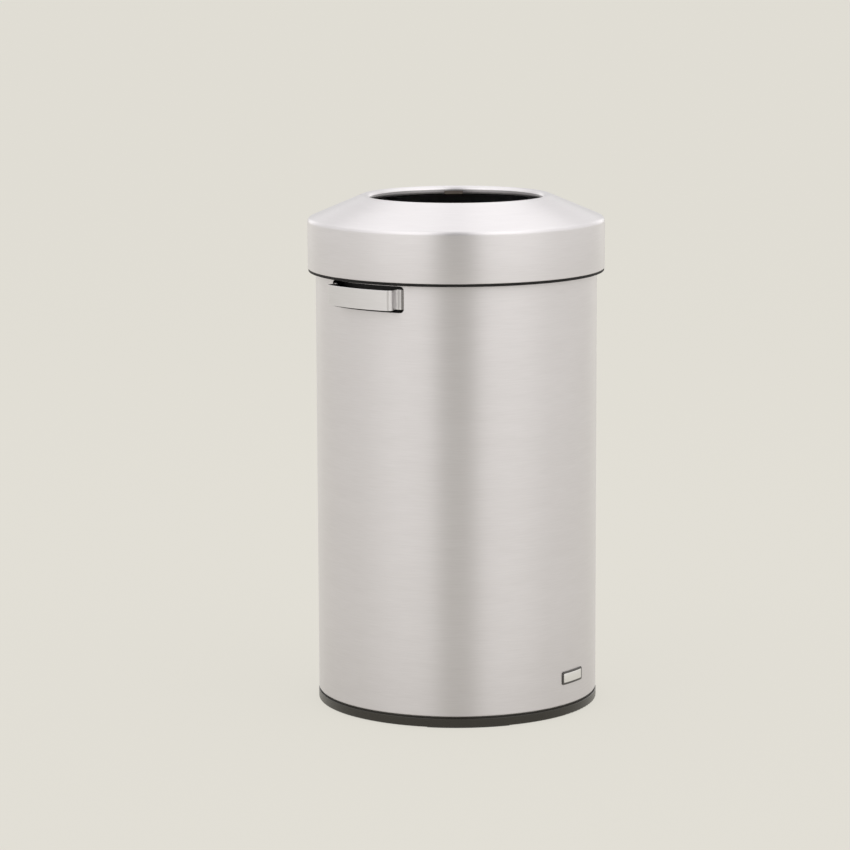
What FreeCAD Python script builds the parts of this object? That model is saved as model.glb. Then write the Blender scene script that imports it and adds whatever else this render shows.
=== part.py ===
import FreeCAD, Part
import math
import os

# Round open-top trash receptacle: a rolled steel body on a moulded base ring, a rigid
# liner hung inside it and a spun steel lid that caps both.
# Millimetres. The origin is on the floor at the centre, +Z is up, the front faces -Y
# and the two handles are on -X and +X.

# Whole receptacle
overall_height = 752.0
body_diameter = 413.0
lid_overhang = 11.5

# Clearances that several pieces share
seat_fit = 0.2
running_gap = 0.8
overrun = 5.0

# Body shell: rolled sheet with an inward flange at the bottom
shell_sheet = 1.0
shell_bend = 2.5
shell_flange = 12.0
shell_reach_into_lid = 48.0

# Handle windows in the shell and the grips that bridge them
window_width = 136.0
window_height = 38.0
window_corner = 6.0
window_drop = 2.0
grip_sheet = 1.5
grip_standoff = 18.5
grip_margin = 4.5
grip_bend = 8.0
grip_edge_radius = 0.5
leg_gap = 11.4
foot_bend = 2.5
foot_length = 24.0

# Base ring: a moulded channel, open below, with ribs across it
base_face_height = 13.2
base_proud = 0.5
base_wall = 3.0
base_channel = 10.4
base_web = 5.0
base_edge_radius = 2.0
base_top_radius = 0.8
base_rib = 2.0
base_rib_count = 24
shadow_gap = 2.3

# Foot pads: rubber arcs pressed into the base ring's channel
pad_drop = 1.0
pad_height = 4.5
pad_gap = 0.3
pad_angle = 34.0

# Floor pan: pressed disc with a raised panel, on the shell's flange
pan_sheet = 1.0
pan_inset = 3.5
pan_rim_width = 14.0
pan_rise = 4.0
pan_bend = 3.0

# Base screws, from below through base ring, shell flange and pan
base_screw_radius = 2.0
base_screw_head_radius = 4.0
base_screw_head_height = 2.4
base_screw_tip = 3.0
base_screw_count = 6

# Liner seat ring: a moulded channel pushed on the shell's top edge
seat_outer_leg = 1.2
seat_inner_leg = 2.0
seat_depth = 12.0
seat_cap = 2.5
seat_corner_radius = 0.8

# Rigid liner: a tapered moulding with a wider collar and a flange
liner_wall = 3.0
liner_gap = 15.0
liner_draft = 1.4
liner_floor_gap = 4.0
liner_bottom_radius = 15.0
liner_collar_height = 16.0
liner_collar_gap = 1.2
liner_shelf_radius = 5.0
liner_fillet = 2.0
hand_hold_width = 110.0
hand_hold_height = 32.0
hand_hold_corner = 12.0
hand_hold_drop = 14.0

# Lid shell: one spun sheet from the hem up the skirt, over the cone and round the lip
lid_sheet = 1.0
lid_height = 107.0
skirt_height = 73.0
shoulder_radius = 7.0
mouth_diameter = 254.0
lip_radius = 9.0
lip_drop = 11.0
hem_height = 8.0
hem_gap = 0.2

# Lid ring: moulded ring inside the lid that closes it below and rests on the liner
ring_inset = 0.8
ring_flange = 4.0
ring_wall = 1.5
ring_lip = 9.0
ring_edge_radius = 0.8
ring_corner_radius = 2.0
ring_rib = 2.0
ring_rib_height = 40.0
ring_rib_count = 12
boss_height = 10.0
boss_wall = 0.8

# Lid tabs, welded in the skirt, and the screws that draw the lid ring up to them
tab_sheet = 1.2
tab_width = 20.0
tab_height = 16.0
tab_bend = 2.0
lid_screw_radius = 1.25
lid_screw_head_radius = 2.2
lid_screw_head_height = 2.0
lid_screw_tip = 2.0
lid_screw_count = 4

# Rim clip on the free edge inside the mouth, opposite the viewer's side
clip_sheet = 1.2
clip_width = 27.0
clip_reach = 4.0
clip_bend = 1.5
clip_azimuth = 132.0

# Radii and levels worked out from the values above
body_radius = body_diameter / 2
body_inner_radius = body_radius - shell_sheet
lid_radius = body_radius + lid_overhang
mouth_radius = mouth_diameter / 2

base_shoulder_level = pad_drop + base_face_height
shell_bottom_level = base_shoulder_level + shadow_gap
pan_rim_level = shell_bottom_level + shell_sheet
pan_panel_level = pan_rim_level + pan_rise
liner_bottom_level = pan_panel_level + pan_sheet + liner_floor_gap

skirt_level = overall_height - lid_height
ring_bottom_level = skirt_level - ring_flange
shell_top_level = skirt_level + shell_reach_into_lid
seat_top_level = shell_top_level + seat_cap
liner_top_level = seat_top_level + liner_wall

window_top_level = ring_bottom_level - window_drop
window_middle_level = window_top_level - window_height / 2

base_outer_radius = body_radius + base_proud
base_channel_outer = base_outer_radius - base_wall
base_channel_inner = base_channel_outer - base_channel
base_inner_radius = base_channel_inner - base_wall
base_web_level = shell_bottom_level - base_web
base_screw_circle = (base_channel_outer + base_channel_inner) / 2

seat_outer_radius = body_radius + seat_fit + seat_outer_leg
seat_inner_radius = body_inner_radius - seat_fit - seat_inner_leg

hem_width = lid_sheet * 2 + hem_gap
ring_inner_radius = seat_outer_radius + running_gap
ring_wall_radius = ring_inner_radius + ring_wall
ring_rib_radius = lid_radius - hem_width - seat_fit
boss_radius = lid_screw_head_radius + seat_fit + boss_wall
boss_circle = ring_rib_radius - boss_radius
boss_top_level = skirt_level + boss_height

ORIGIN = FreeCAD.Vector(0, 0, 0)
UP = FreeCAD.Vector(0, 0, 1)


def section_point(radius, level):
    """A point of a section through the axis, on the +X side."""
    return FreeCAD.Vector(radius, 0, level)


def corner_points(before, corner, after, radius):
    """Start, middle and end of the arc that rounds a corner."""
    towards_before = (before - corner).normalize()
    towards_after = (after - corner).normalize()
    half_angle = towards_before.getAngle(towards_after) / 2
    reach = radius / math.tan(half_angle)
    inward = (towards_before + towards_after).normalize()
    depth = radius / math.sin(half_angle) - radius
    return corner + towards_before * reach, corner + inward * depth, corner + towards_after * reach


def run_edges(points, radii):
    """Straight runs through the points, with an arc at each inner point that has a radius."""
    edges = []
    last = points[0]
    for before, corner, after, radius in zip(points, points[1:], points[2:], radii[1:]):
        start, middle, end = corner_points(before, corner, after, radius) if radius else (corner,) * 3
        if not last.isEqual(start, seat_fit * 1e-6):
            edges.append(Part.makeLine(last, start))
        if radius:
            edges.append(Part.Arc(start, middle, end).toShape())
        last = end
    edges.append(Part.makeLine(last, points[-1]))
    return edges


def rounded_face(points, radii):
    """A closed outline with rounded corners, as a face. It starts halfway along its last side."""
    halfway = (points[-1] + points[0]) / 2
    edges = run_edges([halfway] + points + [halfway], [0] + radii + [0])
    return Part.Face(Part.Wire(edges))


def left_of(direction):
    """The direction turned a quarter turn to the left, in a section through the axis."""
    return FreeCAD.Vector(-direction.z, 0, direction.x)


def sheet_face(points, radii, thickness):
    """Section of a bent sheet: its outer side runs through the points, its metal lies to the left."""
    ways = [(b - a).normalize() for a, b in zip(points, points[1:])]
    inner_points = [points[0] + left_of(ways[0]) * thickness]
    inner_radii = [0]
    for point, radius, arriving, leaving in zip(points[1:], radii[1:], ways, ways[1:]):
        bisector = left_of(arriving) + left_of(leaving)
        inner_points.append(point + bisector * (thickness / (1 + arriving.dot(leaving))))
        turns_left = left_of(arriving).dot(leaving) > 0
        inner_radii.append(radius - thickness if turns_left else radius + thickness)
    inner_points.append(points[-1] + left_of(ways[-1]) * thickness)
    inner_radii.append(0)
    edges = run_edges(points, radii)
    edges.append(Part.makeLine(points[-1], inner_points[-1]))
    edges += run_edges(inner_points[::-1], inner_radii[::-1])
    edges.append(Part.makeLine(inner_points[0], points[0]))
    return Part.Face(Part.Wire(edges))


def outward(solid):
    """The solid with its faces turned outwards."""
    if solid.Volume < 0:
        solid.reverse()
    return solid


def spun(face, degrees=360):
    """A section turned about the axis, by a full turn or by an arc centred on +X."""
    solid = outward(face.revolve(ORIGIN, UP, degrees))
    if degrees < 360:
        solid.rotate(ORIGIN, UP, -degrees / 2)
    return solid


def turned(shape, degrees):
    """A copy of the shape, turned about the axis."""
    copy = shape.copy()
    copy.rotate(ORIGIN, UP, degrees)
    return copy


def ring_of(shape, count, first=0):
    """Copies of the shape, evenly spaced about the axis."""
    return [turned(shape, first + 360 / count * step) for step in range(count)]


def plate(face, thickness):
    """A flat section through the axis, thickened equally to both sides."""
    solid = outward(face.extrude(FreeCAD.Vector(0, thickness, 0)))
    solid.translate(FreeCAD.Vector(0, -thickness / 2, 0))
    return solid


def post(radius, bottom, top, circle):
    """An upright cylinder whose axis stands on the given circle, on the +X side."""
    return Part.makeCylinder(radius, top - bottom, FreeCAD.Vector(circle, 0, bottom))


def rounded_bar(width, height, corner, middle, length):
    """A bar along X through the axis, with rounded long edges."""
    half = FreeCAD.Vector(0, width / 2, 0)
    low = FreeCAD.Vector(-length / 2, 0, middle - height / 2)
    high = FreeCAD.Vector(-length / 2, 0, middle + height / 2)
    face = rounded_face([low - half, low + half, high + half, high - half], [corner] * 4)
    return outward(face.extrude(FreeCAD.Vector(length, 0, 0)))


def screw(radius, head_radius, head_height, bearing_level, tip_level, circle):
    """A button-head screw that points up, with its head below the bearing level."""
    bottom = bearing_level - head_height
    points = [
        section_point(0, bottom),
        section_point(head_radius, bottom),
        section_point(head_radius, bearing_level),
        section_point(radius, bearing_level),
        section_point(radius, tip_level - radius),
        section_point(0, tip_level),
    ]
    edges = run_edges(points, [0, head_height / 2, 0, 0, 0, 0])
    edges.append(Part.makeLine(points[-1], points[0]))
    solid = spun(Part.Face(Part.Wire(edges)))
    solid.translate(FreeCAD.Vector(circle, 0, 0))
    return solid


def polar(radius, angle):
    """A point in the floor plane at an angle from +X, in radians."""
    return FreeCAD.Vector(radius * math.cos(angle), radius * math.sin(angle), 0)


def arc_about(centre, radius, first, last):
    """An arc in the floor plane about a centre, from the first angle to the last."""
    points = [centre + polar(radius, angle) for angle in (first, (first + last) / 2, last)]
    return Part.Arc(*points).toShape()


base_screw_first = 360 / base_rib_count / 2


def base_screw_holes():
    hole = post(base_screw_radius + seat_fit, -overrun, liner_bottom_level, base_screw_circle)
    return ring_of(hole, base_screw_count, base_screw_first)


def body_shell():
    face = sheet_face(
        [
            section_point(body_radius - shell_flange, shell_bottom_level),
            section_point(body_radius, shell_bottom_level),
            section_point(body_radius, shell_top_level),
        ],
        [0, shell_bend, 0],
        shell_sheet,
    )
    windows = rounded_bar(
        window_width, window_height, window_corner, window_middle_level, body_diameter + overrun * 2
    )
    return spun(face).cut([windows] + base_screw_holes())


def grip():
    """The +X handle: a strap bent out through the window, with its feet inside the shell."""
    outer = body_radius + grip_standoff
    foot_outer = body_inner_radius - seat_fit
    leg_angle = math.asin((window_width / 2 - leg_gap) / body_radius)

    bend_circle = outer - grip_bend
    bend_angle = leg_angle - math.asin(grip_bend / bend_circle)
    bend_centre = polar(bend_circle, bend_angle)
    foot_circle = foot_outer + foot_bend
    foot_angle = leg_angle + math.asin(foot_bend / foot_circle)
    foot_centre = polar(foot_circle, foot_angle)
    foot_end = foot_angle + foot_length / foot_outer
    square = leg_angle + math.pi / 2

    def half_side(depth):
        """One side of the strap's path, from the middle of the grip to the foot's end."""
        bend = arc_about(bend_centre, grip_bend - depth, bend_angle, square)
        foot = arc_about(foot_centre, foot_bend + depth, square + math.pi, foot_angle + math.pi)
        return [
            arc_about(ORIGIN, outer - depth, 0, bend_angle),
            bend,
            Part.makeLine(bend.Vertexes[-1].Point, foot.Vertexes[0].Point),
            foot,
            arc_about(ORIGIN, foot_outer - depth, foot_angle, foot_end),
        ]

    front = half_side(0)
    back = half_side(grip_sheet)
    foot_cap = Part.makeLine(polar(foot_outer, foot_end), polar(foot_outer - grip_sheet, foot_end))
    middle_cap = Part.makeLine(polar(outer - grip_sheet, 0), polar(outer, 0))
    outline = Part.Wire(Part.__sortEdges__(front + back + [foot_cap, middle_cap]))
    height = window_height - grip_margin * 2
    half = outward(Part.Face(outline).extrude(FreeCAD.Vector(0, 0, height)))
    half.translate(FreeCAD.Vector(0, 0, window_middle_level - height / 2))
    strap = half.fuse(half.mirror(ORIGIN, FreeCAD.Vector(0, 1, 0))).removeSplitter()
    face_edges = [
        edge
        for edge in strap.Edges
        if edge.BoundBox.ZLength < seat_fit and edge.BoundBox.XMin > body_radius
    ]
    return strap.makeFillet(grip_edge_radius, face_edges)


def base_ring():
    neck_radius = body_radius - shell_bend
    section = rounded_face(
        [
            section_point(base_outer_radius, pad_drop),
            section_point(base_outer_radius, base_shoulder_level),
            section_point(neck_radius, base_shoulder_level),
            section_point(neck_radius, shell_bottom_level),
            section_point(base_inner_radius, shell_bottom_level),
            section_point(base_inner_radius, pad_drop),
            section_point(base_channel_inner, pad_drop),
            section_point(base_channel_inner, base_web_level),
            section_point(base_channel_outer, base_web_level),
            section_point(base_channel_outer, pad_drop),
        ],
        [base_edge_radius, base_top_radius] + [0] * 8,
    )
    root = base_wall / 2
    rib = rounded_face(
        [
            section_point(base_channel_inner - root, pad_height),
            section_point(base_channel_outer + root, pad_height),
            section_point(base_channel_outer + root, base_web_level + root),
            section_point(base_channel_inner - root, base_web_level + root),
        ],
        [0] * 4,
    )
    ribs = ring_of(plate(rib, base_rib), base_rib_count)
    return spun(section).fuse(ribs).removeSplitter().cut(base_screw_holes())


def base_screws():
    one = screw(
        base_screw_radius,
        base_screw_head_radius,
        base_screw_head_height,
        base_web_level,
        pan_rim_level + pan_sheet + base_screw_tip,
        base_screw_circle,
    )
    return Part.makeCompound(ring_of(one, base_screw_count, base_screw_first))


def foot_pad():
    inner = base_channel_inner + pad_gap
    outer = base_channel_outer - pad_gap
    section = rounded_face(
        [
            section_point(inner, 0),
            section_point(outer, 0),
            section_point(outer, pad_height),
            section_point(inner, pad_height),
        ],
        [pad_gap, pad_gap, 0, 0],
    )
    return spun(section, pad_angle)


def floor_pan():
    rim_radius = body_radius - pan_inset
    step_radius = rim_radius - pan_rim_width
    face = sheet_face(
        [
            section_point(0, pan_panel_level),
            section_point(step_radius - pan_rise, pan_panel_level),
            section_point(step_radius, pan_rim_level),
            section_point(rim_radius, pan_rim_level),
        ],
        [0, pan_bend, pan_bend, 0],
        pan_sheet,
    )
    return spun(face).cut(base_screw_holes())


def liner_seat_ring():
    low = shell_top_level - seat_depth
    section = rounded_face(
        [
            section_point(seat_outer_radius, low),
            section_point(seat_outer_radius, seat_top_level),
            section_point(seat_inner_radius, seat_top_level),
            section_point(seat_inner_radius, low),
            section_point(seat_inner_radius + seat_inner_leg, low),
            section_point(seat_inner_radius + seat_inner_leg, shell_top_level),
            section_point(seat_outer_radius - seat_outer_leg, shell_top_level),
            section_point(seat_outer_radius - seat_outer_leg, low),
        ],
        [0, seat_corner_radius, seat_corner_radius] + [0] * 5,
    )
    return spun(section)


def rigid_liner():
    top_radius = body_inner_radius - liner_gap
    collar_radius = seat_inner_radius - liner_collar_gap
    shelf_level = seat_top_level - liner_collar_height
    taper = math.tan(math.radians(liner_draft)) * (shelf_level - liner_bottom_level)
    face = sheet_face(
        [
            section_point(0, liner_bottom_level),
            section_point(top_radius - taper, liner_bottom_level),
            section_point(top_radius, shelf_level),
            section_point(collar_radius, shelf_level),
            section_point(collar_radius, seat_top_level),
            section_point(body_radius, seat_top_level),
        ],
        [0, liner_bottom_radius, liner_fillet, liner_shelf_radius, liner_fillet, 0],
        liner_wall,
    )
    hand_holds = rounded_bar(
        hand_hold_width,
        hand_hold_height,
        hand_hold_corner,
        shelf_level - hand_hold_drop - hand_hold_height / 2,
        body_diameter,
    )
    return spun(face).cut(turned(hand_holds, 90))


def lid_shell():
    shoulder = section_point(lid_radius, skirt_level + skirt_height)
    lip_centre = section_point(mouth_radius + lip_radius, overall_height - lip_radius)
    to_centre = lip_centre - shoulder
    slope = math.atan2(to_centre.z, -to_centre.x) + math.asin(lip_radius / to_centre.Length)
    lip_corner_level = shoulder.z + (lid_radius - mouth_radius) * math.tan(slope)
    face = sheet_face(
        [
            section_point(lid_radius - hem_width, skirt_level + hem_height),
            section_point(lid_radius - hem_width, skirt_level),
            section_point(lid_radius, skirt_level),
            shoulder,
            section_point(mouth_radius, lip_corner_level),
            section_point(mouth_radius, overall_height - lip_drop),
        ],
        [0, hem_width / 2, hem_width / 2, shoulder_radius, lip_radius, 0],
        lid_sheet,
    )
    return spun(face)


lid_screw_first = 360 / lid_screw_count / 2


def lid_ring():
    rest_level = liner_top_level
    top_level = rest_level + ring_wall
    flange_radius = lid_radius - ring_inset
    section = rounded_face(
        [
            section_point(ring_inner_radius, ring_bottom_level),
            section_point(flange_radius, ring_bottom_level),
            section_point(flange_radius, skirt_level),
            section_point(ring_wall_radius, skirt_level),
            section_point(ring_wall_radius, top_level),
            section_point(ring_wall_radius - ring_lip, top_level),
            section_point(ring_wall_radius - ring_lip, rest_level),
            section_point(ring_inner_radius, rest_level),
        ],
        [0, ring_edge_radius, 0, 0, ring_corner_radius, 0, 0, 0],
    )
    root_radius = ring_wall_radius - ring_wall / 2
    root_level = skirt_level - ring_flange / 2
    rib_top = skirt_level + ring_rib_height
    rib = rounded_face(
        [
            section_point(root_radius, root_level),
            section_point(ring_rib_radius, root_level),
            section_point(ring_rib_radius, rib_top - (ring_rib_radius - root_radius)),
            section_point(root_radius, rib_top),
        ],
        [0] * 4,
    )
    ribs = ring_of(plate(rib, ring_rib), ring_rib_count)
    boss = post(boss_radius, root_level, boss_top_level, boss_circle)
    bosses = ring_of(boss, lid_screw_count, lid_screw_first)
    head_room = post(
        lid_screw_head_radius + seat_fit,
        ring_bottom_level - overrun,
        ring_bottom_level + lid_screw_head_height,
        boss_circle,
    )
    shank_room = post(lid_screw_radius + seat_fit, ring_bottom_level, boss_top_level + overrun, boss_circle)
    holes = ring_of(head_room.fuse(shank_room), lid_screw_count, lid_screw_first)
    return spun(section).fuse(ribs + bosses).removeSplitter().cut(holes)


def lid_tabs():
    skirt_inside = lid_radius - lid_sheet - seat_fit
    face = sheet_face(
        [
            section_point(ring_wall_radius + seat_fit, boss_top_level),
            section_point(skirt_inside, boss_top_level),
            section_point(skirt_inside, boss_top_level + tab_height),
        ],
        [0, tab_bend, 0],
        tab_sheet,
    )
    hole = post(lid_screw_radius + seat_fit, boss_top_level - overrun, boss_top_level + overrun, boss_circle)
    tab = spun(face, math.degrees(tab_width / skirt_inside)).cut(hole)
    return Part.makeCompound(ring_of(tab, lid_screw_count, lid_screw_first))


def lid_screws():
    one = screw(
        lid_screw_radius,
        lid_screw_head_radius,
        lid_screw_head_height,
        ring_bottom_level + lid_screw_head_height,
        boss_top_level + tab_sheet + lid_screw_tip,
        boss_circle,
    )
    return Part.makeCompound(ring_of(one, lid_screw_count, lid_screw_first))


def rim_clip():
    edge_level = overall_height - lip_drop
    inner = mouth_radius - seat_fit - clip_sheet
    outer = mouth_radius + lid_sheet + seat_fit + clip_sheet
    bottom = edge_level - seat_fit - clip_sheet
    top = edge_level + clip_reach
    face = sheet_face(
        [
            section_point(inner, top),
            section_point(inner, bottom),
            section_point(outer, bottom),
            section_point(outer, top),
        ],
        [0, clip_bend, clip_bend, 0],
        clip_sheet,
    )
    clip = spun(face, math.degrees(clip_width / mouth_radius))
    return turned(clip, clip_azimuth - 90)


os.makedirs("parts", exist_ok=True)

pieces = {
    "body_shell": body_shell(),
    "floor_pan": floor_pan(),
    "base_ring": base_ring(),
    "base_screws": base_screws(),
    "liner_seat_ring": liner_seat_ring(),
    "rigid_liner": rigid_liner(),
    "lid_shell": lid_shell(),
    "lid_ring": lid_ring(),
    "lid_tabs": lid_tabs(),
    "lid_screws": lid_screws(),
    "rim_clip": rim_clip(),
}

handle = grip()
pieces["right_handle"] = handle
pieces["left_handle"] = turned(handle, 180)

pad_places = ["rear_right", "rear_left", "front_left", "front_right"]
pad_first = 360 / len(pad_places) / 2
for place, pad in zip(pad_places, ring_of(foot_pad(), len(pad_places), pad_first)):
    pieces["foot_pad_" + place] = pad

for name, shape in pieces.items():
    shape.exportStep("parts/" + name + ".step")
    print(name, "solids", len(shape.Solids), "valid", shape.isValid(), "volume", round(shape.Volume))
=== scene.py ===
# %% [markdown]
# # A brushed steel receptacle, finished in Blender
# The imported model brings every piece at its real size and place. This lesson keeps that
# frame as it is, turns the large steel pieces again as fine meshes, and gives each surface
# the finish of the real thing: brushed steel, moulded plastic, rubber and plated screws.

# %% Load the frame
import math

import bmesh
import bpy
from mathutils import Matrix, Vector


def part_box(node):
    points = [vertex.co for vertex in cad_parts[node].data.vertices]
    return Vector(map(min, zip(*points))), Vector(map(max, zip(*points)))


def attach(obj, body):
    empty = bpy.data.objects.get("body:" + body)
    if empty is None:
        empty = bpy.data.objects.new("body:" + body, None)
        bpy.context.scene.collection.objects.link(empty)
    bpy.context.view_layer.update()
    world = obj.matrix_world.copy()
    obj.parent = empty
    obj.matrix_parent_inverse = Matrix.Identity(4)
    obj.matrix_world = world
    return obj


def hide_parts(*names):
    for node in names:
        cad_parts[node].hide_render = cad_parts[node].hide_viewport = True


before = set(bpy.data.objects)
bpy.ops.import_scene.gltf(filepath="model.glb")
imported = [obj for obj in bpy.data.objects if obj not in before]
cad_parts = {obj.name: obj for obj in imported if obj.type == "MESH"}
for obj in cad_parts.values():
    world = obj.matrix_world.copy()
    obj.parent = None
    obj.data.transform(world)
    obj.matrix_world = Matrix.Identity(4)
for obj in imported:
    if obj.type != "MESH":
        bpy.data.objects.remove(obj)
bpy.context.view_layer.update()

# %% [markdown]
# ## Camera
# A product shot like this one is taken with a long lens from a few metres away, so that the
# round rims stay flat ellipses and the sides stay nearly upright. The camera is placed by
# where a photographer would measure it: how far from the axis, how high above the floor,
# how far round from the front, and how it is tilted. No lens shift is used, so the same
# camera also frames the object well from other sides.

# %% Place the camera
VIEW_AZIMUTH = math.radians(-49.7)
CAMERA_DISTANCE = 5.0
CAMERA_HEIGHT = 1.222
CAMERA_PITCH = math.radians(9.23)
CAMERA_PAN = math.radians(0.537)
CAMERA_ROLL = math.radians(-0.235)
LENS = 144.9
SENSOR = 36.0

towards_camera = Vector((math.sin(VIEW_AZIMUTH), -math.cos(VIEW_AZIMUTH), 0.0))
place = towards_camera * CAMERA_DISTANCE + Vector((0.0, 0.0, CAMERA_HEIGHT))
heading = Matrix.Rotation(VIEW_AZIMUTH + CAMERA_PAN, 4, "Z")
tilt = Matrix.Rotation(math.pi / 2 - CAMERA_PITCH, 4, "X")
roll = Matrix.Rotation(CAMERA_ROLL, 4, "Z")

lens = bpy.data.cameras.new("product_camera")
lens.lens = LENS
lens.sensor_width = SENSOR
camera = bpy.data.objects.new("product_camera", lens)
bpy.context.scene.collection.objects.link(camera)
camera.matrix_world = Matrix.Translation(place) @ heading @ tilt @ roll
bpy.context.scene.camera = camera
print("camera at", [round(c, 3) for c in place], "lens", LENS, "mm")

# %% [markdown]
# ## Shader maths
# A finish is a small formula: some noise, stretched, added to a colour. Node graphs hide
# such formulas, so one small class wraps a node's output and lets Python's own operators
# add the Math nodes. Every other kind of node comes from its one method `node`.


# %% A wire that can be added and multiplied
class Wire:
    """One output in a node tree. Arithmetic on it adds Math nodes."""

    def __init__(self, tree, socket=None):
        self.tree = tree
        self.socket = socket

    def node(self, kind, settings=None, inputs=None, output=0):
        """Add a node: its settings are set first, then its sockets are filled or linked."""
        made = self.tree.nodes.new(kind)
        for name, value in (settings or {}).items():
            if name == "stops":
                set_stops(made.color_ramp, value)
            else:
                setattr(made, name, value)
        for name, value in (inputs or {}).items():
            if isinstance(value, Wire):
                self.tree.links.new(value.socket, made.inputs[name])
            else:
                made.inputs[name].default_value = value
        return Wire(self.tree, made.outputs[output] if made.outputs else None)

    def math(self, operation, *values):
        return self.node("ShaderNodeMath", {"operation": operation}, dict(enumerate(values)))

    def vector_math(self, operation, *values, output=0):
        settings = {"operation": operation}
        return self.node("ShaderNodeVectorMath", settings, dict(enumerate(values)), output)

    def __add__(self, other):
        return self.math("ADD", self, other)

    def __radd__(self, other):
        return self.math("ADD", other, self)

    def __sub__(self, other):
        return self.math("SUBTRACT", self, other)

    def __rsub__(self, other):
        return self.math("SUBTRACT", other, self)

    def __mul__(self, other):
        return self.math("MULTIPLY", self, other)

    def __rmul__(self, other):
        return self.math("MULTIPLY", other, self)

    def __truediv__(self, other):
        return self.math("DIVIDE", self, other)

    def __rtruediv__(self, other):
        return self.math("DIVIDE", other, self)

    def __pow__(self, other):
        return self.math("POWER", self, other)


def set_stops(ramp, stops):
    """Fill a colour ramp from (place, brightness) pairs."""
    while len(ramp.elements) < len(stops):
        ramp.elements.new(0.5)
    for element, (share, level) in zip(ramp.elements, stops):
        element.position = share
        element.color = (level, level, level, 1.0)


print("operators add Math nodes")

# %% [markdown]
# ## Parts of a finish
# All finishes start as an empty material and end in one Principled shader. Between the two,
# noise on the piece's own coordinates picks a place between a dark and a light colour. A Mix
# node carries sockets for several kinds of value, so its colour sockets go by number.

# %% Helpers for finishes
MIX_FACTOR = 0
MIX_FIRST = 6
MIX_SECOND = 7
MIX_COLOUR = 2
FINE_DETAIL = 3.0
BROAD_DETAIL = 2.0


def new_finish(name):
    """An empty material, and a wire to build its nodes from."""
    material = bpy.data.materials.new(name)
    material.use_nodes = True
    material.node_tree.nodes.clear()
    return material, Wire(material.node_tree)


def surface(wire, sockets):
    """Close a material with one Principled shader."""
    shader = wire.node("ShaderNodeBsdfPrincipled", None, sockets)
    wire.node("ShaderNodeOutputMaterial", None, {"Surface": shader})


def opaque(colour):
    """A colour with full alpha. A wire stays as it is."""
    return colour if isinstance(colour, Wire) else (*colour, 1.0)


def blended(wire, first, second, factor=1.0, how="MIX"):
    """One colour out of two, by a factor from 0 to 1."""
    settings = {"data_type": "RGBA", "blend_type": how}
    sockets = {MIX_FACTOR: factor, MIX_FIRST: opaque(first), MIX_SECOND: opaque(second)}
    return wire.node("ShaderNodeMix", settings, sockets, MIX_COLOUR)


def noise(wire, vector, detail, scale=1.0):
    sockets = {"Vector": vector, "Scale": scale, "Detail": detail}
    return wire.node("ShaderNodeTexNoise", None, sockets)


def raised(wire, height, strength, depth):
    """A bump for the shader's normal."""
    sockets = {"Strength": strength, "Distance": depth, "Height": height}
    return wire.node("ShaderNodeBump", None, sockets)


def object_point(wire):
    return wire.node("ShaderNodeTexCoord", None, None, "Object")


print("finish helpers ready")

# %% [markdown]
# ## Brushed steel
# The sheet is brushed round and round, so its scratches follow the circumference on the
# wall, the cone and the lip alike. Each point's scratch is picked by two things: its
# direction from the axis, which changes slowly, and its distance along the section, which
# changes fast. Stretched noise on those coordinates gives long fine streaks with no seam.
# Scratches spread a reflection across themselves, which the shader's own anisotropy does.
# Close to the floor the colour is darkened: painted shade for the darker floor that the low wall
# reflects.

# %% Steel finish
FINE_ALONG = 7.0
FINE_ACROSS = 900.0
BROAD_ALONG = 2.0
BROAD_ACROSS = 60.0
CLOUD_SCALE = 9.0
FINE_SHARE = 0.55
BROAD_SHARE = 0.25
CLOUD_SHARE = 0.2
STREAK_BUMP = 0.06
STREAK_DEPTH = 0.0002
STEEL_SPREAD = 0.12
QUARTER_TURN = 0.25
FOOT_SHADE_SHARE = 0.45
FOOT_SHADE_HEIGHT = 0.1


def around_the_axis(wire, point):
    """Direction from the axis as x and y, the distance along a section, and the level."""
    parts = wire.node("ShaderNodeSeparateXYZ", None, {"Vector": point})
    outputs = parts.socket.node.outputs
    x, y, z = (Wire(wire.tree, outputs[axis]) for axis in "XYZ")
    radius = (x * x + y * y) ** 0.5
    return x / radius, y / radius, z - radius, z


def brushed_steel(name, dark, light, roughness, anisotropy):
    """Steel with long streaks round the axis, and painted shade darkening it close to the floor.
    """
    material, wire = new_finish(name)
    point = object_point(wire)
    cosine, sine, travel, level = around_the_axis(wire, point)

    def streaks(along, across, detail):
        """Noise with few cells along a scratch and many across it."""
        stretched = {"X": cosine * along, "Y": sine * along, "Z": travel * across}
        return noise(wire, wire.node("ShaderNodeCombineXYZ", None, stretched), detail)

    fine = streaks(FINE_ALONG, FINE_ACROSS, FINE_DETAIL)
    broad = streaks(BROAD_ALONG, BROAD_ACROSS, BROAD_DETAIL)
    cloud = noise(wire, point, BROAD_DETAIL, CLOUD_SCALE)
    mix = fine * FINE_SHARE + broad * BROAD_SHARE + cloud * CLOUD_SHARE
    # Painted shade: the base colour darkens towards the floor, standing in for the dim floor
    # reflected there.
    painted_foot_shade = FOOT_SHADE_SHARE / (level * level / FOOT_SHADE_HEIGHT**2 + 1.0)
    surface(
        wire,
        {
            "Base Color": blended(wire, dark, light, mix - painted_foot_shade),
            "Metallic": 1.0,
            "Roughness": roughness - STEEL_SPREAD / 2 + mix * STEEL_SPREAD,
            "Anisotropic": anisotropy,
            "Anisotropic Rotation": QUARTER_TURN,
            "Normal": raised(wire, fine, STREAK_BUMP, STREAK_DEPTH),
        },
    )
    return material


steel = brushed_steel(
    "brushed_steel", (0.645, 0.623, 0.632), (0.792, 0.770, 0.785), roughness=0.36, anisotropy=0.85
)
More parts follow.
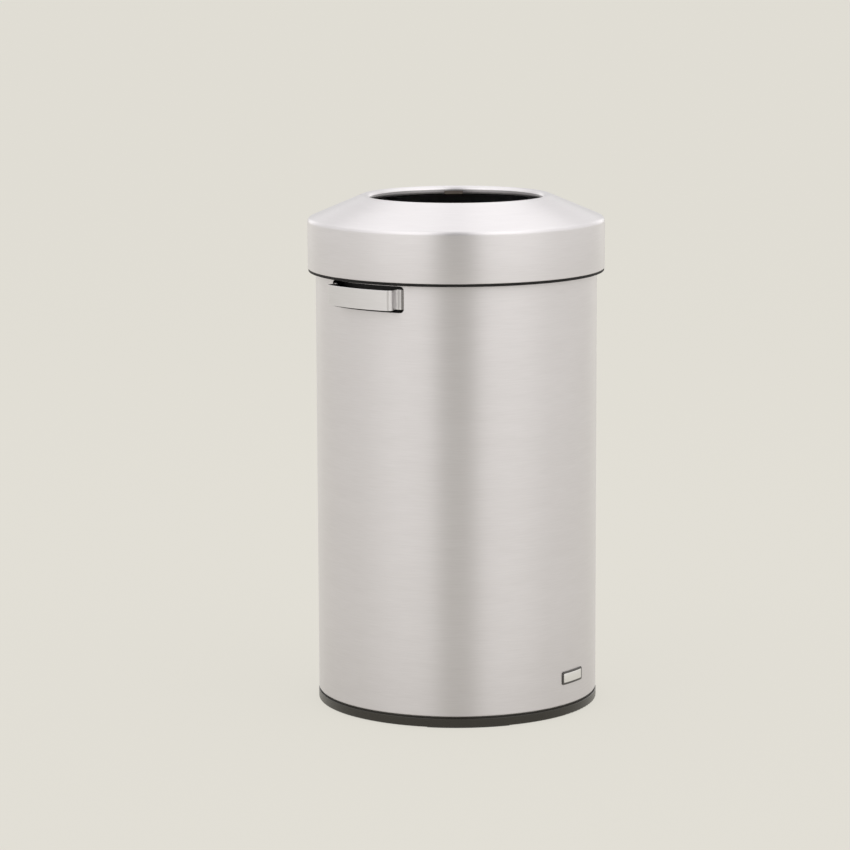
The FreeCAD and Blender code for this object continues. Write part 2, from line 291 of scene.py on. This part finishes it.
# Painted shade: a much darker copy of the brushed steel, put on faces that sit in shade.
painted_shade_steel = brushed_steel(
    "painted_shade_steel", (0.200, 0.190, 0.190), (0.270, 0.260, 0.260), roughness=0.26, anisotropy=0.2
)
strap_steel = brushed_steel(
    "strap_steel", (0.645, 0.632, 0.640), (0.792, 0.778, 0.790), roughness=0.32, anisotropy=0.6
)
print("steel finishes:", steel.name, painted_shade_steel.name, strap_steel.name)

# %% [markdown]
# ## Plastics, rubber and plated steel
# Moulded plastic is never quite even: the mould's spark-eroded texture breaks up its
# reflections, and the colour drifts a little over a long piece. A fine noise drives the bump
# and the roughness, a broad one the colour. Rubber is the same idea, rougher and darker.
# Plated steel has a fine spangle and soft clouds instead.

# %% Moulded and plated finishes
SPARK_GRAIN = 900.0
SPARK_DEPTH = 0.0002
SPARK_BUMP = 0.35
DRIFT_SCALE = 14.0
MOULDED_SPREAD = 0.16
SPANGLE_SCALE = 130.0
BLOOM_SCALE = 25.0
PLATED_SPREAD = 0.2


def moulded(
    name, dark, light, roughness, grain=SPARK_GRAIN, depth=SPARK_DEPTH, specular=0.5
):
    """Plastic or rubber with the grain of its mould."""
    material, wire = new_finish(name)
    point = object_point(wire)
    fine = noise(wire, point, FINE_DETAIL, grain)
    drift = noise(wire, point, BROAD_DETAIL, DRIFT_SCALE)
    surface(
        wire,
        {
            "Base Color": blended(wire, dark, light, drift),
            "Roughness": roughness - MOULDED_SPREAD / 2 + fine * MOULDED_SPREAD,
            "Specular IOR Level": specular,
            "Normal": raised(wire, fine, SPARK_BUMP, depth),
        },
    )
    return material


def plated(name, dark, light, roughness):
    """Bare or zinc-plated steel."""
    material, wire = new_finish(name)
    point = object_point(wire)
    spangle = noise(wire, point, BROAD_DETAIL, SPANGLE_SCALE)
    bloom = noise(wire, point, BROAD_DETAIL, BLOOM_SCALE)
    surface(
        wire,
        {
            "Base Color": blended(wire, dark, light, spangle * 0.5 + bloom * 0.5),
            "Metallic": 1.0,
            "Roughness": roughness - PLATED_SPREAD / 2 + bloom * PLATED_SPREAD,
        },
    )
    return material


print("moulded and plated finishes can be made")

# %% [markdown]
# ## Pieces that keep their shape
# The rings, the liner, the clip, the floor pan and all the small fixings are right as they
# came, so each one only gets its finish. The four foot pads share one rubber.

# %% Dress the pieces as they came
ZINC_DARK = (0.5, 0.5, 0.48)
ZINC_LIGHT = (0.62, 0.62, 0.6)


def grey(level):
    return (level, level, level)


def dress(piece, *materials):
    """Give a piece its finishes. Faces take the first one unless they are told otherwise."""
    piece.data.materials.clear()
    for material in materials:
        piece.data.materials.append(material)


finishes = {
    "base_ring": moulded(
        "base_plastic", (0.009, 0.007, 0.003), (0.017, 0.013, 0.007), roughness=0.30, specular=0.6
    ),
    "lid_ring": moulded(
        "ring_plastic", (0.010, 0.009, 0.009), (0.016, 0.015, 0.015), roughness=0.55, specular=0.15
    ),
    "liner_seat_ring": moulded("seat_plastic", grey(0.012), grey(0.02), roughness=0.55),
    "rigid_liner": moulded(
        "liner_plastic",
        (0.008, 0.007, 0.007),
        (0.014, 0.013, 0.013),
        roughness=0.6,
        grain=500.0,
        depth=0.0003,
    ),
    "rim_clip": moulded(
        "clip_plastic", (0.100, 0.082, 0.066), (0.132, 0.110, 0.092), roughness=0.5, depth=0.0001
    ),
    "floor_pan": plated("mill_steel", grey(0.42), grey(0.55), roughness=0.4),
    "lid_tabs": plated("tab_steel", grey(0.45), grey(0.56), roughness=0.4),
    "base_screws": plated("screw_zinc", ZINC_DARK, ZINC_LIGHT, roughness=0.35),
    "lid_screws": plated("small_screw_zinc", ZINC_DARK, ZINC_LIGHT, roughness=0.35),
}
pad_rubber = moulded(
    "pad_rubber", grey(0.018), grey(0.03), roughness=0.8, grain=1200.0, specular=0.3
)
for corner in ("rear_right", "rear_left", "front_left", "front_right"):
    finishes["foot_pad_" + corner] = pad_rubber

for node, material in finishes.items():
    dress(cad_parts[node], material)
print("dressed", len(finishes), "nodes as they came")

# %% [markdown]
# ## Turned pieces
# Spun sheet and rolled sheet are both bodies of revolution, so each is drawn once as a
# closed section and spun about the axis. The corners of the section are single vertices.
# A bevel on a vertex rounds it, and needs the length that the arc takes off each side,
# which follows from the wanted radius and the corner's angle.

# %% A section that is drawn, rounded and spun
TURNS = 256
BEND_SEGMENTS = 10
MERGE_DISTANCE = 1e-6
SHARP_ANGLE = math.radians(35.0)


def bevelled(mesh, geometry, offset, segments, affect):
    """Round some edges or vertices with a true arc."""
    bmesh.ops.bevel(
        mesh,
        geom=geometry,
        offset=offset,
        offset_type="OFFSET",
        segments=segments,
        profile=0.5,
        affect=affect,
        material=-1,
    )


def rounded(mesh, vertex, radius):
    """Round one corner of a wire with an arc of the given radius."""
    before, after = (edge.other_vert(vertex).co - vertex.co for edge in vertex.link_edges)
    reach = radius / math.tan(before.angle(after) / 2)
    bevelled(mesh, [vertex], reach, BEND_SEGMENTS, "VERTICES")


def keep_corners_crisp(mesh):
    for edge in mesh.edges:
        edge.smooth = len(edge.link_faces) == 2 and edge.calc_face_angle() < SHARP_ANGLE


def finished(name, mesh):
    """Turn a bmesh into an object with smooth faces and crisp corners."""
    for face in mesh.faces:
        face.smooth = True
    keep_corners_crisp(mesh)
    data = bpy.data.meshes.new(name)
    mesh.to_mesh(data)
    mesh.free()
    piece = bpy.data.objects.new(name, data)
    bpy.context.scene.collection.objects.link(piece)
    return piece


def turned(name, corners):
    """Spin a closed section, given as (radius, level, rounding) corners, into a mesh object."""
    mesh = bmesh.new()
    vertices = [mesh.verts.new((radius, 0.0, level)) for radius, level, _ in corners]
    for first, second in zip(vertices, vertices[1:] + vertices[:1]):
        mesh.edges.new((first, second))
    for vertex, (_, _, rounding) in zip(vertices, corners):
        if rounding:
            rounded(mesh, vertex, rounding)
    bmesh.ops.spin(
        mesh,
        geom=mesh.verts[:] + mesh.edges[:],
        cent=(0.0, 0.0, 0.0),
        axis=(0.0, 0.0, 1.0),
        angle=math.tau,
        steps=TURNS,
        use_merge=True,
    )
    bmesh.ops.remove_doubles(mesh, verts=mesh.verts[:], dist=MERGE_DISTANCE)
    bmesh.ops.recalc_face_normals(mesh, faces=mesh.faces[:])
    return finished(name, mesh)


print("sections are spun in", TURNS, "steps")

# %% [markdown]
# ## Lid
# The lid is one sheet: a folded hem at the bottom, an upright skirt, a shallow cone, and a
# lip rolled over into the mouth. The lip is a circle that touches three lines, the cone, the
# level of the top and the upright wall of the mouth, so two corners with its radius make it.
# The hem's inner bend is a hair tighter than its outer one, so a short flat is left between.
# Faces that look inwards into the mouth take a much darker steel, painted shade for the dark
# inside that they face.

# %% Spin the lid
LID_SHEET = 0.001
HEM_HEIGHT = 0.008
HEM_WIDTH = 0.0022
HEM_BEND = HEM_WIDTH / 2
INNER_HEM_BEND = HEM_BEND * 0.99
SKIRT_HEIGHT = 0.073
SHOULDER_RADIUS = 0.007
MOUTH_RADIUS = 0.127
LIP_RADIUS = 0.009
LIP_DROP = 0.011
LOOKS_INWARDS = -0.89

lid_low, lid_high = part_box("lid_shell")
lid_radius = lid_high.x
skirt_level = lid_low.z
top_level = lid_high.z
shoulder_level = skirt_level + SKIRT_HEIGHT
to_lip = Vector(
    (lid_radius - MOUTH_RADIUS - LIP_RADIUS, top_level - LIP_RADIUS - shoulder_level)
)
cone_slope = math.atan2(to_lip.y, to_lip.x) + math.asin(LIP_RADIUS / to_lip.length)


def lid_side(inset):
    """Corners of the lid's outer side from skirt to mouth, moved inwards by the inset."""
    drop = inset * math.tan(math.pi / 4 - cone_slope / 2)
    skirt = lid_radius - inset
    shoulder = shoulder_level - drop
    crest = top_level - inset
    crest_radius = skirt - (crest - shoulder) / math.tan(cone_slope)
    mouth = MOUTH_RADIUS + inset
    return [
        (skirt, shoulder, SHOULDER_RADIUS - inset),
        (crest_radius, crest, LIP_RADIUS - inset),
        (mouth, crest, LIP_RADIUS - inset),
        (mouth, top_level - LIP_DROP, 0.0),
    ]


lid = turned(
    "lid_cap",
    [(lid_radius, skirt_level, HEM_BEND)]
    + lid_side(0.0)
    + lid_side(LID_SHEET)[::-1]
    + [
        (lid_radius - LID_SHEET, skirt_level + HEM_HEIGHT, 0.0),
        (lid_radius - HEM_WIDTH, skirt_level + HEM_HEIGHT, 0.0),
        (lid_radius - HEM_WIDTH, skirt_level, INNER_HEM_BEND),
    ],
)
dress(lid, steel, painted_shade_steel)
# Painted shade: faces looking into the mouth get the dark steel.
for face in lid.data.polygons:
    outwards = Vector((face.center.x, face.center.y, 0.0)).normalized()
    if face.normal.dot(outwards) < LOOKS_INWARDS:
        face.material_index = 1
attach(lid, "lid")
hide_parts("lid_shell")
print("lid faces:", len(lid.data.polygons))
print("cone slope:", round(math.degrees(cone_slope), 1), "degrees")

# %% [markdown]
# ## Body
# The body is a rolled sheet with a flange turned in at its foot. Two windows are cut through
# it for the hands. They are made as a shop would make them, with one punch straight across:
# a rounded bar, taken away with a Boolean, whose result replaces the mesh.

# %% Spin the body and punch its windows
SHELL_SHEET = 0.001
SHELL_BEND = 0.0025
SHELL_FLANGE = 0.012
WINDOW_WIDTH = 0.136
WINDOW_HEIGHT = 0.038
WINDOW_CORNER = 0.006
WINDOW_SEGMENTS = 8

body_low, body_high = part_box("body_shell")
body_radius = body_high.x
grip_low, grip_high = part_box("left_handle")
window_level = (grip_low.z + grip_high.z) / 2
punch_length = body_radius * 3

body = turned(
    "body_wall",
    [
        (body_radius - SHELL_FLANGE, body_low.z, 0.0),
        (body_radius, body_low.z, SHELL_BEND),
        (body_radius, body_high.z, 0.0),
        (body_radius - SHELL_SHEET, body_high.z, 0.0),
        (body_radius - SHELL_SHEET, body_low.z + SHELL_SHEET, SHELL_BEND - SHELL_SHEET),
        (body_radius - SHELL_FLANGE, body_low.z + SHELL_SHEET, 0.0),
    ],
)


def window_punch():
    """A bar along X with rounded long edges, at the level of the grips."""
    mesh = bmesh.new()
    bmesh.ops.create_cube(mesh, size=1.0)
    size = (punch_length, WINDOW_WIDTH, WINDOW_HEIGHT)
    bmesh.ops.scale(mesh, vec=size, verts=mesh.verts[:])
    bmesh.ops.translate(mesh, vec=(0.0, 0.0, window_level), verts=mesh.verts[:])
    long_edges = [edge for edge in mesh.edges if edge.calc_length() > WINDOW_WIDTH * 2]
    bevelled(mesh, long_edges, WINDOW_CORNER, WINDOW_SEGMENTS, "EDGES")
    return finished("punch", mesh)


def cut_away(piece, cutter):
    """Take the cutter's space out of a piece and drop the cutter."""
    boolean = piece.modifiers.new("cut", "BOOLEAN")
    boolean.operation = "DIFFERENCE"
    boolean.solver = "EXACT"
    boolean.object = cutter
    graph = bpy.context.evaluated_depsgraph_get()
    result = bmesh.new()
    result.from_mesh(piece.evaluated_get(graph).to_mesh())
    piece.modifiers.clear()
    bpy.data.objects.remove(cutter)
    bmesh.ops.remove_doubles(result, verts=result.verts[:], dist=MERGE_DISTANCE)
    keep_corners_crisp(result)
    result.to_mesh(piece.data)
    result.free()


cut_away(body, window_punch())
dress(body, steel)
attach(body, "body")
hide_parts("body_shell")
print("body faces:", len(body.data.polygons))

# %% [markdown]
# ## Grips
# Each grip is a bent strap that ends in two feet behind the sheet. Its shape is right as it
# came. From the windows' ends on, the feet take a much darker steel as painted shade for the
# gap behind the sheet. A foot's faces are known by their place: nearer to the axis than the
# wall, and far out to one end.

# %% Dress the grips
FOOT_SHOWN = 0.064

for side in ("left_handle", "right_handle"):
    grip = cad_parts[side]
    dress(grip, strap_steel, painted_shade_steel)
    # Painted shade: foot faces behind the sheet, past the windows' ends, get the dark steel.
    for face in grip.data.polygons:
        on_foot = face.center.xy.length < body_radius
        if on_foot and abs(face.center.y) > FOOT_SHOWN:
            face.material_index = 1
print("grips dressed, feet in painted shade past", FOOT_SHOWN, "m")

# %% [markdown]
# ## Bare plate
# Low on the front sits a small bare plate: a dark moulded frame with a plain brushed face set
# in it. Both are flat rounded rectangles that are cut into strips, thickened and then bent
# round the body, so they lie on it all over.

# %% Bend a plate round the body
PLATE_WIDTH = 0.0504
PLATE_HEIGHT = 0.0194
PLATE_CORNER = 0.003
PLATE_LEVEL = 0.057
PLATE_TURN = math.radians(4.95)
PLATE_STRIPS = 16
CORNER_SEGMENTS = 6
EDGE_SEGMENTS = 3
EDGE_SHARE = 0.25
FRAME_DEPTH = 0.0012
FACE_INSET = 0.003
FACE_DEPTH = 0.0016


def bent_plate(name, width, height, corner, depth):
    """A rounded plate on the front of the body, bent to its curve."""
    mesh = bmesh.new()
    bmesh.ops.create_grid(mesh, x_segments=1, y_segments=1, size=0.5)
    bmesh.ops.scale(mesh, vec=(width, height, 1.0), verts=mesh.verts[:])
    bevelled(mesh, mesh.verts[:], corner, CORNER_SEGMENTS, "VERTICES")
    for step in range(1, PLATE_STRIPS):
        bmesh.ops.bisect_plane(
            mesh,
            geom=mesh.verts[:] + mesh.edges[:] + mesh.faces[:],
            plane_co=(width * (step / PLATE_STRIPS - 0.5), 0.0, 0.0),
            plane_no=(1.0, 0.0, 0.0),
        )
    face_up = bmesh.ops.extrude_face_region(mesh, geom=mesh.faces[:])["geom"]
    lifted = [item for item in face_up if isinstance(item, bmesh.types.BMVert)]
    bmesh.ops.translate(mesh, vec=(0.0, 0.0, depth), verts=lifted)
    bmesh.ops.recalc_face_normals(mesh, faces=mesh.faces[:])
    rim = [
        edge
        for edge in mesh.edges
        if len(edge.link_faces) == 2
        and edge.calc_face_angle() > SHARP_ANGLE
        and min(vertex.co.z for vertex in edge.verts) > depth / 2
    ]
    bevelled(mesh, rim, depth * EDGE_SHARE, EDGE_SEGMENTS, "EDGES")
    for vertex in mesh.verts:
        along, up, out = vertex.co
        angle = along / body_radius + PLATE_TURN
        reach = body_radius + out
        vertex.co = (reach * math.sin(angle), -reach * math.cos(angle), PLATE_LEVEL + up)
    bmesh.ops.recalc_face_normals(mesh, faces=mesh.faces[:])
    return finished(name, mesh)


plate_frame = bent_plate("plate_frame", PLATE_WIDTH, PLATE_HEIGHT, PLATE_CORNER, FRAME_DEPTH)
plate_face = bent_plate(
    "plate_face",
    PLATE_WIDTH - FACE_INSET * 2,
    PLATE_HEIGHT - FACE_INSET * 2,
    PLATE_CORNER - FACE_INSET / 2,
    FACE_DEPTH,
)
plate_plastic = moulded(
    "plate_plastic", (0.05, 0.046, 0.044), (0.07, 0.066, 0.062), roughness=0.4, depth=0.0001
)
plate_silver = brushed_steel(
    "plate_silver", (0.78, 0.77, 0.76), (0.88, 0.87, 0.86), roughness=0.34, anisotropy=0.3
)
dress(plate_frame, plate_plastic)
dress(plate_face, plate_silver)
for piece in (plate_frame, plate_face):
    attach(piece, "body")
print("plate", PLATE_WIDTH, "by", PLATE_HEIGHT, "m at", PLATE_LEVEL, "m")

# %% [markdown]
# ## What the metal sees
# Polished metal shows the room more than it shows itself, so the room is planned by compass
# direction. The studio has one dark side, where a photographer would stand, and a window side
# that is a little brighter. One figure says how far a direction points away from the dark
# side: 0 is straight to it, 1 is straight away. A colour ramp over that figure then holds the
# brightness of the studio all the way round.

# %% Directions round the object
DARK_SIDE = Vector((math.sin(VIEW_AZIMUTH), -math.cos(VIEW_AZIMUTH), 0.0))
BRIGHT_SIDE = Vector((math.cos(VIEW_AZIMUTH), math.sin(VIEW_AZIMUTH), 0.0))


def facing(wire, vector, side):
    """1 for a direction that points to a side of the room, -1 for one that points away."""
    flat = wire.vector_math("MULTIPLY", vector, (1.0, 1.0, 0.0))
    level = wire.vector_math("NORMALIZE", flat)
    return wire.vector_math("DOT_PRODUCT", level, side, output="Value")


def round_the_room(wire, vector, stops):
    """The studio's brightness in a direction, from a ramp of (share, brightness) stops."""
    away_from_dark_side = 0.5 - facing(wire, vector, DARK_SIDE) * 0.5
    return wire.node("ShaderNodeValToRGB", {"stops": stops}, {"Fac": away_from_dark_side})


print("dark side", [round(c, 3) for c in DARK_SIDE])

# %% [markdown]
# ## Floor
# The receptacle stands on a wide pale floor that reaches past the top of the picture. Most of
# what is seen of it is its own plain colour and the rest is what the light makes of it, so it
# stays even and still carries the shadow. The metal sees the floor just as the camera does.

# %% Floor
FLOOR_REACH = 200.0
FLOOR_SEGMENTS = 64
FLOOR_COLOUR = (0.742, 0.720, 0.656)
PLAIN_SHARE = 0.88


def ray_is(wire, kind):
    return wire.node("ShaderNodeLightPath", None, None, "Is " + kind + " Ray")


mesh = bmesh.new()
bmesh.ops.create_circle(mesh, cap_ends=True, segments=FLOOR_SEGMENTS, radius=FLOOR_REACH)
floor = finished("floor", mesh)
floor_finish, wire = new_finish("floor_paper")
lit = wire.node("ShaderNodeBsdfDiffuse", None, {"Color": opaque(FLOOR_COLOUR)})
plain = wire.node("ShaderNodeEmission", None, {"Color": opaque(FLOOR_COLOUR), "Strength": 1.0})
looked_at = ray_is(wire, "Camera") + ray_is(wire, "Glossy") + ray_is(wire, "Transmission")
share = wire.math("MINIMUM", looked_at, 1.0) * PLAIN_SHARE
paper = wire.node("ShaderNodeMixShader", None, {0: share, 1: lit, 2: plain})
wire.node("ShaderNodeOutputMaterial", None, {"Surface": paper})
dress(floor, floor_finish)
print("floor", FLOOR_REACH, "m round")

# %% [markdown]
# ## Light tent
# The room is a pale tent that goes all the way round, a little darker where the camera stands,
# as any studio is, and brightest on both sides of it. That gives the wall one soft dark band
# with a light one on each side. Two low white walls stand in the back corners and light the
# very edges, which reflect them at a glancing angle. The backdrop between them is dimmer near
# the floor, and so is the tent's roof straight overhead, where the lamp hangs. Heights in the
# tent are given as a climb: 0 is level with the object, 1 is straight up.

# %% Tent
TENT_COLOUR = (1.0, 0.99, 0.98)
TENT_STRENGTH = 1.38
TENT_STOPS = [
    (0.0, 0.26),
    (0.008, 0.31),
    (0.020, 0.66),
    (0.036, 0.91),
    (0.060, 1.0),
    (0.213, 1.0),
    (0.439, 0.77),
    (0.650, 0.74),
    (0.860, 0.70),
    (0.920, 0.76),
    (1.0, 0.89),
]
WALL_STOPS = [(0.91, 0.0), (0.945, 1.0), (0.968, 1.0), (0.986, 0.0)]
WALL_GLOW = 0.25
WALL_TOP = 0.4
WALL_FADE = 0.2
BACKDROP_STOPS = [(0.965, 0.0), (0.988, 1.0)]
BACKDROP_SHADE = 0.29
BACKDROP_TOP = 0.80
BACKDROP_FADE = 0.38
OVERHEAD_FULL = 0.97
OVERHEAD_FADE = 0.13
OVERHEAD_SHADE = 0.22
SIDE_SHARE = 0.09

world = bpy.data.worlds.new("light_tent")
world.use_nodes = True
world.node_tree.nodes.clear()
bpy.context.scene.world = world
wire = Wire(world.node_tree)
direction = wire.node("ShaderNodeTexCoord", None, None, "Generated")
climb = wire.node("ShaderNodeSeparateXYZ", None, {"Vector": direction}, "Z")


def below(top, fade):
    """1 near the floor, fading to 0 at the given climb."""
    sockets = {"Value": climb, "From Min": top, "From Max": top - fade}
    return wire.node("ShaderNodeMapRange", None, sockets)


walls = round_the_room(wire, direction, WALL_STOPS) * below(WALL_TOP, WALL_FADE)
backdrop = round_the_room(wire, direction, BACKDROP_STOPS) * below(BACKDROP_TOP, BACKDROP_FADE)
overhead = 1.0 - below(OVERHEAD_FULL, OVERHEAD_FADE)
room = round_the_room(wire, direction, TENT_STOPS) + walls * WALL_GLOW
room = room - backdrop * BACKDROP_SHADE - overhead * OVERHEAD_SHADE
to_the_side = wire.math("MAXIMUM", facing(wire, direction, BRIGHT_SIDE), 0.0)
tent = room * (to_the_side * SIDE_SHARE + 1.0)
tinted_tent = blended(wire, tent, TENT_COLOUR, how="MULTIPLY")
glow = wire.node("ShaderNodeBackground", None, {"Color": tinted_tent, "Strength": TENT_STRENGTH})
wire.node("ShaderNodeOutputWorld", None, {"Surface": glow})
print("tent of", len(TENT_STOPS), "stops, strength", TENT_STRENGTH)

# %% [markdown]
# ## Softbox
# One wide softbox hangs overhead. It lights the cone, which no side of the tent reaches well,
# and makes the soft shadow on the floor. A lamp's power spreads over its area, so it is worked
# out from the brightness that its cloth should have.

# %% Softbox
SOFTBOX_SIZE = 4.8
SOFTBOX_HEIGHT = 3.0
SOFTBOX_GLOW = 0.38

softbox_data = bpy.data.lights.new("softbox", "AREA")
softbox_data.shape = "SQUARE"
softbox_data.size = SOFTBOX_SIZE
softbox_data.energy = SOFTBOX_GLOW * SOFTBOX_SIZE**2 * math.pi
softbox = bpy.data.objects.new("softbox", softbox_data)
hung = Matrix.Translation((0.0, 0.0, SOFTBOX_HEIGHT))
softbox.matrix_world = hung @ Matrix.Rotation(VIEW_AZIMUTH, 4, "Z")
bpy.context.scene.collection.objects.link(softbox)
print("softbox", round(softbox_data.energy, 1), "W")

# %% [markdown]
# ## Close
# The picture is shown as it is rendered, with the standard view.

# %% Finish
bpy.context.scene.view_settings.view_transform = "Standard"
